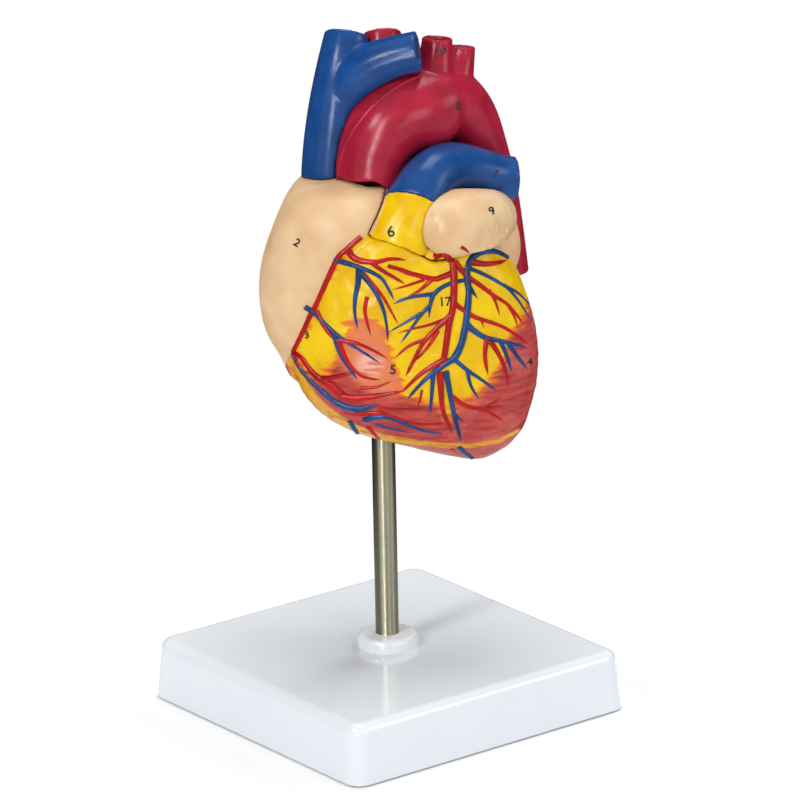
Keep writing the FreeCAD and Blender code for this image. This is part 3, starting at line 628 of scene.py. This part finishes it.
# each route: width at its start and end in pixels, then the places it runs through
artery_routes = (
    (4.5, 4.0, ((361, 237), (346, 250), (336, 261), (316, 305), (309, 319), (299, 340), (293, 352))),
    (4.5, 7.5, ((293, 352), (302, 358), (310, 369), (320, 379), (332, 386), (342, 394))),
    (5.0, 2.0, ((322, 379), (334, 377), (346, 374), (356, 373))),
    (9.0, 2.0, ((330, 385), (342, 396), (360, 398), (382, 395), (404, 391))),
    (3.5, 2.0, ((295, 354), (299, 366), (302, 375))),
    (6.0, 2.0, ((347, 249), (353, 257), (362, 261), (376, 262), (391, 259), (406, 260))),
    (4.0, 2.0, ((370, 262), (383, 271), (395, 278), (405, 284))),
    (3.5, 3.0, ((388, 266), (402, 270), (414, 274), (427, 277))),
    (3.2, 1.5, ((363, 273), (373, 284), (383, 297), (391, 311), (398, 324))),
    (3.6, 1.5, ((367, 297), (365, 310), (367, 322), (371, 336))),
    (4.5, 3.5, ((317, 311), (323, 324), (330, 334), (338, 341))),
    (4.0, 1.5, ((338, 341), (352, 342), (366, 347), (378, 353), (388, 359))),
    (4.5, 2.0, ((339, 342), (345, 357), (353, 369), (364, 377), (380, 380))),
    (3.2, 1.5, ((378, 407), (393, 409), (424, 409))),
    (4.0, 1.5, ((345, 411), (360, 414), (380, 413), (400, 419), (420, 424), (447, 424))),
    (3.0, 1.5, ((360, 388), (376, 387), (392, 381))),
    (2.2, 1.5, ((422, 390), (420, 400), (417, 408))),
    (4.5, 3.0, ((368, 427), (377, 437), (387, 446))),
    (5.0, 6.0, ((434, 257), (445, 255), (452, 262), (454, 274))),
    (6.0, 5.0, ((454, 272), (454, 289), (453, 307), (449, 325), (446, 346), (444, 360))),
    (5.5, 2.0, ((444, 360), (433, 366), (422, 373), (411, 383), (402, 392))),
    (5.0, 3.0, ((452, 273), (442, 277), (434, 279), (420, 276), (399, 271))),
    (4.0, 1.5, ((432, 279), (425, 286), (417, 292), (408, 296))),
    (2.8, 1.2, ((424, 280), (409, 285), (392, 290))),
    (5.0, 2.5, ((450, 316), (436, 329), (424, 342), (415, 358), (406, 376))),
    (3.4, 1.5, ((424, 340), (409, 346), (395, 358))),
    (3.0, 1.2, ((443, 320), (429, 325), (412, 329), (398, 333))),
    (3.6, 1.5, ((438, 331), (430, 344), (422, 354), (414, 362))),
    (5.0, 2.0, ((455, 262), (466, 275), (481, 286), (493, 295), (507, 304), (516, 314), (523, 324))),
    (3.2, 1.5, ((489, 290), (495, 301), (500, 316))),
    (3.0, 1.2, ((508, 305), (514, 316), (518, 328))),
    (4.2, 2.0, ((453, 302), (462, 309), (475, 317), (490, 322), (503, 327), (516, 335), (529, 345))),
    (2.6, 1.5, ((481, 319), (484, 328))),
    (5.0, 2.2, ((487, 338), (485, 356), (488, 375))),
    (4.6, 1.5, ((491, 342), (499, 355), (505, 369), (509, 388))),
    (6.0, 2.5, ((440, 372), (441, 390), (443, 410), (452, 433))),
    (4.2, 1.5, ((453, 397), (464, 405), (480, 408), (493, 403), (502, 396))),
    (3.6, 1.5, ((468, 407), (482, 410), (492, 414), (504, 422))),
    (3.6, 1.5, ((478, 409), (490, 408), (505, 405))),
    (3.2, 2.0, ((461, 247), (466, 250), (470, 254))),
    (5.5, 3.0, ((471, 262), (484, 264), (496, 263), (507, 260))),
    (3.5, 3.0, ((452, 449), (457, 454))),
)
vein_routes = (
    (5.0, 2.0, ((334, 260), (346, 263), (358, 267), (371, 272), (382, 279), (389, 290), (394, 300))),
    (5.5, 1.5, ((359, 269), (358, 283), (355, 300), (355, 315), (358, 330))),
    (4.6, 1.5, ((360, 272), (370, 284), (378, 297), (384, 312), (387, 328), (388, 342))),
    (5.0, 1.5, ((305, 307), (314, 313), (325, 324), (336, 334), (348, 343), (358, 349), (369, 356),
                (380, 363))),
    (5.0, 2.0, ((334, 334), (338, 348), (345, 362), (357, 379))),
    (3.0, 5.5, ((292, 353), (297, 364), (306, 376), (317, 387), (327, 396))),
    (5.5, 7.0, ((324, 393), (334, 401), (346, 407), (357, 409))),
    (6.5, 2.0, ((354, 409), (366, 408), (379, 404))),
    (5.5, 1.5, ((364, 420), (378, 417), (391, 418), (408, 425), (425, 431), (444, 434))),
    (3.0, 1.5, ((376, 424), (392, 429), (412, 433))),
    (5.0, 4.5, ((350, 421), (356, 431), (365, 441))),
    (4.5, 4.0, ((459, 447), (464, 452), (472, 458))),
    (5.0, 5.5, ((507, 257), (497, 252), (487, 251), (477, 254), (469, 263), (467, 277), (469, 289))),
    (4.0, 1.8, ((469, 286), (473, 292), (478, 299))),
    (5.5, 6.0, ((469, 288), (468, 305), (466, 322), (463, 338), (458, 352), (452, 361))),
    (6.0, 2.0, ((455, 358), (440, 368), (428, 377), (417, 388), (407, 400))),
    (3.2, 3.8, ((465, 280), (452, 283), (441, 288), (433, 295))),
    (3.8, 1.8, ((434, 294), (418, 296), (405, 299), (393, 304))),
    (4.0, 1.6, ((433, 295), (430, 306), (429, 318))),
    (3.4, 1.6, ((431, 304), (421, 315), (413, 326), (401, 343))),
    (3.0, 1.2, ((421, 313), (408, 321), (389, 332))),
    (3.4, 2.0, ((469, 268), (481, 273), (493, 279), (505, 286), (518, 293), (533, 308))),
    (2.8, 1.5, ((505, 285), (518, 300), (532, 322))),
    (5.5, 2.2, ((465, 322), (473, 330), (484, 337), (496, 340), (510, 343), (527, 348))),
    (4.2, 2.0, ((501, 342), (506, 354), (512, 372))),
    (4.2, 2.0, ((508, 343), (517, 356), (528, 370))),
    (4.0, 2.0, ((455, 360), (467, 370), (479, 378), (497, 391))),
    (3.4, 1.8, ((467, 370), (471, 386), (479, 399))),
    (5.0, 3.0, ((446, 371), (449, 388), (452, 404), (456, 422), (461, 441))),
    (3.0, 1.5, ((456, 416), (464, 422))),
    (4.2, 2.0, ((433, 374), (432, 392), (430, 414))),
)
# folds cast in the same colour as the piece under them
aorta_fold = ((5.0, 4.0, ((338, 184), (339, 168), (343, 151), (351, 134), (362, 118), (376, 103), (392, 90),
                          (407, 81), (421, 75))),)
auricle_folds = (
    (5.0, 2.5, ((486, 229), (489, 238), (486, 247))),
    (4.5, 2.5, ((496, 226), (499, 236), (497, 246))),
    (4.0, 2.0, ((506, 226), (508, 236), (507, 245))),
)
# on the back, in mm from the heart's own middle: side and height, with the same two widths
back_artery_routes = (
    (5.0, 4.0, ((-40, 29), (-25, 39), (-14, 53), (-5, 59), (4, 58))),
    (4.5, 2.0, ((2, 58), (9, 45), (19, 32), (31, 19), (43, 7), (52, -1))),
    (3.0, 1.5, ((12, 41), (8, 30), (5, 20))),
    (3.0, 1.5, ((22, 28), (20, 18), (19, 10))),
    (3.5, 2.0, ((30, 60), (36, 48), (44, 36), (52, 26))),
    (3.5, 2.0, ((46, 63), (52, 52), (60, 42), (66, 34))),
)
back_vein_routes = (
    (7.0, 5.5, ((-6, 63), (8, 63), (24, 61), (40, 62), (54, 68), (64, 80))),
    (5.5, 2.5, ((-2, 62), (5, 49), (15, 36), (27, 23), (39, 10), (49, 0))),
    (3.0, 1.5, ((18, 33), (26, 32), (35, 29))),
    (3.0, 1.5, ((30, 20), (38, 20), (46, 16))),
    (4.0, 2.0, ((22, 60), (28, 46), (36, 32), (42, 24))),
    (4.0, 2.0, ((-10, 60), (-18, 48), (-24, 36), (-28, 24))),
)
painted_skins = [(front_cover, "cover"), (heart_rear, "heart")]
painted_skins += [(vessel, "heart") for vessel in vessels]
skin_trees = [(surface_tree(piece), body) for piece, body in painted_skins]


def first_skin(start, aim, skins=skin_trees):
    """The first painted skin that a line meets: place, normal, body and how far it is."""
    found = None
    for tree, body in skins:
        place, normal, _, reach = tree.ray_cast(start, aim)
        if place is not None and (found is None or reach < found[3]):
            found = (place, normal, body, reach)
    return found


def touched(across, down):
    """The skin that a drawn place falls on."""
    return first_skin(camera_place, ray(across, down))


def touched_behind(side, height):
    """The heart's own skin at a place on the back, met from straight behind. There is none
    where a great vessel lies over it."""
    turn = Euler((0, 0, -heart_turn))
    start = Vector((side, start_behind_mm, height)) / 1000
    aim = Vector((0, -1, 0))
    start.rotate(turn)
    aim.rotate(turn)
    start += Vector((0, 0, heart_height))
    found = first_skin(start, aim)
    over = first_skin(start, aim, skin_trees[2:])
    return None if found and over and over[3] <= found[3] else found


def smoothed(route):
    """Places a short step apart along a smooth line through the route's places."""
    ends = [2 * Vector(route[0]) - Vector(route[1])] + [Vector(p) for p in route]
    ends.append(2 * Vector(route[-1]) - Vector(route[-2]))
    line = []
    for before, start, end, after in zip(ends, ends[1:], ends[2:], ends[3:]):
        steps = max(2, int((end - start).length / route_step))
        for index in range(steps):
            t = index / steps
            line.append(0.5 * (2 * start + (end - before) * t
                               + (2 * before - 5 * start + 4 * end - after) * t * t
                               + (3 * start - before - 3 * end + after) * t * t * t))
    line.append(Vector(route[-1]))
    return line


def stretches(line, widths, body, meet):
    """The parts of a line that lie on one body, as centres with radii. A part runs on one step
    past the seam, so that both sides of it meet."""
    parts = []
    part = []
    last = None
    for index, (place, width) in enumerate(zip(line, widths)):
        hit = meet(*place)
        centre = hit and (hit[0] - hit[1] * width * sunk_share, width)
        apart = bool(last and hit) and (hit[0] - last[0]).length > longest_step
        if hit and hit[2] == body:
            if last and not part and not apart:
                part.append((last[0] - last[1] * width * sunk_share, width))
            part.append(centre)
        elif hit and part and not apart:
            part.append(centre)
        if part and (not hit or hit[2] != body or apart or index == len(line) - 1):
            parts.append(part[:-1] if apart else part)
            part = part[-1:] if apart and hit[2] == body else []
        last = hit
    return [part for part in parts if len(part) > 1]


def relief_cords(name, routes, body, finish, meet, per_unit):
    """Half-sunk cords on the painted skin of one body, along drawn routes. One unit of a
    route's width is per_unit mm."""
    curve = bpy.data.curves.new(name, "CURVE")
    curve.dimensions = "3D"
    curve.bevel_depth = 1.0
    curve.bevel_resolution = 2
    curve.use_fill_caps = True
    for start_width, end_width, route in routes:
        line = smoothed(route)
        last = len(line) - 1
        widths = []
        for index in range(last + 1):
            width = start_width + (end_width - start_width) * index / last
            tip = min(1.0, (last - index) / tip_steps + tip_share) if end_width < fine_branch else 1.0
            widths.append(width * tip * per_unit / 2000)
        for part in stretches(line, widths, body, meet):
            spline = curve.splines.new("POLY")
            spline.points.add(len(part) - 1)
            for point, (centre, width) in zip(spline.points, part):
                point.co = (*centre, 1.0)
                point.radius = width
    cords = bpy.data.objects.new(name, curve)
    bpy.context.scene.collection.objects.link(cords)
    bpy.ops.object.select_all(action="DESELECT")
    cords.select_set(True)
    bpy.context.view_layer.objects.active = cords
    bpy.ops.object.convert(target="MESH")
    cords = bpy.context.object
    if not cords.data.vertices:
        bpy.data.objects.remove(cords)
        return
    bpy.ops.object.shade_smooth()
    cords.data.materials.clear()
    cords.data.materials.append(finish)
    paint(cords, "outside", np.ones(len(cords.data.vertices)))
    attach(cords, body)


red_enamel = enamel("red_enamel_relief", artery_red, artery_dark, artery_dark)
small_blue_enamel = enamel("blue_enamel_relief", small_vein_blue, small_vein_dark, small_vein_dark)
drawn_width = mm_per_pixel * brush_width
for body in ("cover", "heart"):
    relief_cords("coronary_veins_" + body, vein_routes, body, small_blue_enamel, touched,
                 drawn_width)
    relief_cords("coronary_arteries_" + body, artery_routes, body, red_enamel, touched,
                 drawn_width)
relief_cords("aorta_fold", aorta_fold, "heart", crimson_enamel, touched, mm_per_pixel)
relief_cords("auricle_folds", auricle_folds, "heart", flesh_enamel, touched, mm_per_pixel)
relief_cords("posterior_veins", back_vein_routes, "heart", small_blue_enamel, touched_behind,
             drawn_width)
relief_cords("posterior_arteries", back_artery_routes, "heart", red_enamel, touched_behind,
             drawn_width)


# Index numbers.
# Small black digits printed on the finished enamel, so that a pupil can find each part in a key.
# The ink lies on the paint as a thin film and follows the curve under it.
ink_black = "#16130f"
ink_worn = "#4a443a"
ink_speckle_mm = 0.6
ink_thickness = 0.00008
ink_lift = 0.00012
type_size = 1.4
type_weight = 0.25
# each number: digits, place across and down, height in pixels and turn in degrees
number_places = (("2", 297, 243, 8.0, -35), ("6", 391, 232, 11.0, 8), ("17", 445, 302, 9.0, 4),
                 ("5", 393, 370, 9.5, -4), ("3", 307, 335, 7.0, 12), ("8", 458, 106, 8.0, 10),
                 ("10", 440, 50, 8.0, -30), ("7", 495, 174, 8.0, -20), ("9", 492, 211, 8.0, 30),
                 ("4", 530, 362, 7.0, 5))
ink, tree, shader, place = new_finish("printed_black_ink", 0.5)
speckle = add_node(tree, "ShaderNodeTexNoise", {"Vector": place, "Scale": 1000 / ink_speckle_mm,
                                                "Detail": 2.0})
surface(tree, shader, coat(tree, ink_black, ink_worn, speckle.outputs["Fac"], 0.5, 0.7, cover=0.5))
for digits, across, down, tall, turn in number_places:
    bpy.ops.object.text_add()
    mark = bpy.context.object
    mark.data.body = digits
    mark.data.size = tall * type_size
    mark.data.align_x = "CENTER"
    mark.data.align_y = "CENTER"
    mark.data.offset = type_weight
    bpy.ops.object.convert(target="MESH")
    mark = bpy.context.object
    bpy.ops.object.mode_set(mode="EDIT")
    bpy.ops.mesh.select_all(action="SELECT")
    bpy.ops.mesh.remove_doubles(threshold=0.001)
    bpy.ops.object.mode_set(mode="OBJECT")
    body = touched(across, down)[2]
    lean = Euler((0, 0, math.radians(turn)))
    for vertex in mark.data.vertices:
        vertex.co.rotate(lean)
        hit = touched(across + vertex.co.x, down - vertex.co.y)
        vertex.co = hit[0] + hit[1] * ink_lift
    mark.name = "index_number_" + digits
    bpy.ops.object.modifier_add(type="SOLIDIFY")
    film = mark.modifiers[-1]
    film.thickness = ink_thickness
    film.offset = -1.0
    bpy.ops.object.modifier_apply(modifier=film.name)
    mark.data.materials.clear()
    mark.data.materials.append(ink)
    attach(mark, body)


# Studio.
# A white floor that takes the model's shadow, soft boxes round it, and one dark card bent round
# behind it. The card shows only in what is glossy, and gives the rod its dark edges.
floor_white = "#f4f4f4"
# how white the floor shows by itself, in steps out from the rod: from, to and the whiteness at
# each. The first two add up, and the last darkens what lies under the base's rim
fade_under_edge = (0.076, 0.115, 0.45, 0.80)
fade_to_room = (0.115, 0.40, 0.0, 0.20)
dark_under_rim = (0.0725, 0.0742, 0.0, 1.0)
floor_width = 12.0
room_light = 0.37
bpy.ops.mesh.primitive_plane_add(size=floor_width, location=(0, 0, 0))
floor = bpy.context.object
floor.name = "studio_floor"
floor_paint, tree, shader, place = new_finish("pale_floor", 0.8)
shader.inputs["Base Color"].default_value = linear(floor_white)
path = tree.nodes.new("ShaderNodeLightPath")
out_from_rod = add_node(tree, "ShaderNodeVectorMath", {0: place}, operation="ABSOLUTE")
axes = add_node(tree, "ShaderNodeSeparateXYZ", {"Vector": out_from_rod.outputs["Vector"]})
edge = add_node(tree, "ShaderNodeMath", {0: axes.outputs["X"], 1: axes.outputs["Y"]}, operation="MAXIMUM")
steps = []
for start, end, low, high in (fade_under_edge, fade_to_room, dark_under_rim):
    steps.append(add_node(tree, "ShaderNodeMapRange", {"Value": edge.outputs["Value"], "From Min": start,
                                                       "From Max": end, "To Min": low, "To Max": high}))
seen = add_node(tree, "ShaderNodeMath", {0: path.outputs["Is Camera Ray"], 1: path.outputs["Is Glossy Ray"]},
                operation="MAXIMUM")
whiteness = steps[0].outputs["Result"]
for other, operation in ((steps[1].outputs["Result"], "ADD"), (steps[2].outputs["Result"], "MULTIPLY"),
                         (seen.outputs["Value"], "MULTIPLY")):
    joined = add_node(tree, "ShaderNodeMath", {0: whiteness, 1: other}, operation=operation)
    whiteness = joined.outputs["Value"]
glow = add_node(tree, "ShaderNodeEmission", {"Strength": 1.0})
shown_floor = add_node(tree, "ShaderNodeMixShader", {0: whiteness, 1: shader.outputs["BSDF"],
                                                     2: glow.outputs["Emission"]})
tree.links.new(shown_floor.outputs["Shader"], tree.nodes["Material Output"].inputs["Surface"])
floor.data.materials.append(floor_paint)
world = bpy.data.worlds.new("studio")
bpy.context.scene.world = world
world.use_nodes = True
tree = world.node_tree
background = tree.nodes["Background"]
path = tree.nodes.new("ShaderNodeLightPath")
shown = path.outputs["Is Camera Ray"]
for kind in ("Is Glossy Ray", "Is Transmission Ray"):
    shown = add_node(tree, "ShaderNodeMath", {0: shown, 1: path.outputs[kind]},
                     operation="MAXIMUM").outputs["Value"]
strength = add_node(tree, "ShaderNodeMapRange", {"Value": shown, "To Min": room_light})
tree.links.new(strength.outputs["Result"], background.inputs["Strength"])
background.inputs["Color"].default_value = (1, 1, 1, 1)


def from_camera_side(side, away, height):
    """A place in the studio: right of the camera's line, beyond the rod, and above the floor."""
    return Vector((side, away, height)) @ Euler((0, 0, heart_turn)).to_matrix()


# the card's section, as reach from the rod and height, and the part of a circle that it spans
card_tone = "#101010"
card_section = ((0.18, 0.002), (1.1, 0.002), (1.1, 1.5))
card_span = (92, 298)
card_step = 2
card_black, _, shader, _ = new_finish("black_card", 0.9)
shader.inputs["Base Color"].default_value = linear(card_tone)
corners = []
for degrees in range(card_span[0], card_span[1] + 1, card_step):
    turned = math.radians(degrees)
    for reach, height in card_section:
        corners.append(from_camera_side(reach * math.sin(turned), -reach * math.cos(turned), height))
panels = []
for first in range(0, len(corners) - 3, 3):
    panels += [(first, first + 1, first + 4, first + 3), (first + 1, first + 2, first + 5, first + 4)]
card = bpy.data.objects.new("dark_card_behind", bpy.data.meshes.new("dark_card_behind"))
card.data.from_pydata(corners, [], panels)
bpy.context.scene.collection.objects.link(card)
card.data.materials.append(card_black)
card.visible_camera = False
card.visible_diffuse = False
card.visible_shadow = False
card.visible_transmission = False
# each lamp: place from the camera's side, width and height of its face, and watts
lamp_aim = Vector((0, 0, 0.17))
for name, side, away, height, wide, tall, watts in (
        ("left_soft_box", -1.2, -1.4, 1.35, 0.45, 0.6, 20.0),
        ("front_fill_box", 0.62, -1.15, 0.45, 0.34, 0.5, 2.5),
        ("mirrored_strip", -0.31, -0.95, 0.40, 0.18, 0.75, 8.0),
        ("right_soft_box", 1.6, -0.5, 0.8, 0.6, 0.6, 4.5),
        ("back_soft_box", 0.9, 1.5, 1.3, 0.8, 0.8, 14.0),
        ("top_soft_box", 0.1, 0.2, 1.9, 0.9, 0.9, 15.0)):
    bpy.ops.object.light_add(type="AREA", location=from_camera_side(side, away, height))
    lamp = bpy.context.object
    lamp.name = name
    lamp.data.shape = "RECTANGLE"
    lamp.data.size = wide
    lamp.data.size_y = tall
    lamp.data.energy = watts
    lamp.visible_diffuse = name != "mirrored_strip"
    lamp.rotation_euler = (lamp_aim - lamp.location).to_track_quat("-Z", "Y").to_euler()
bpy.context.scene.view_settings.view_transform = "Standard"
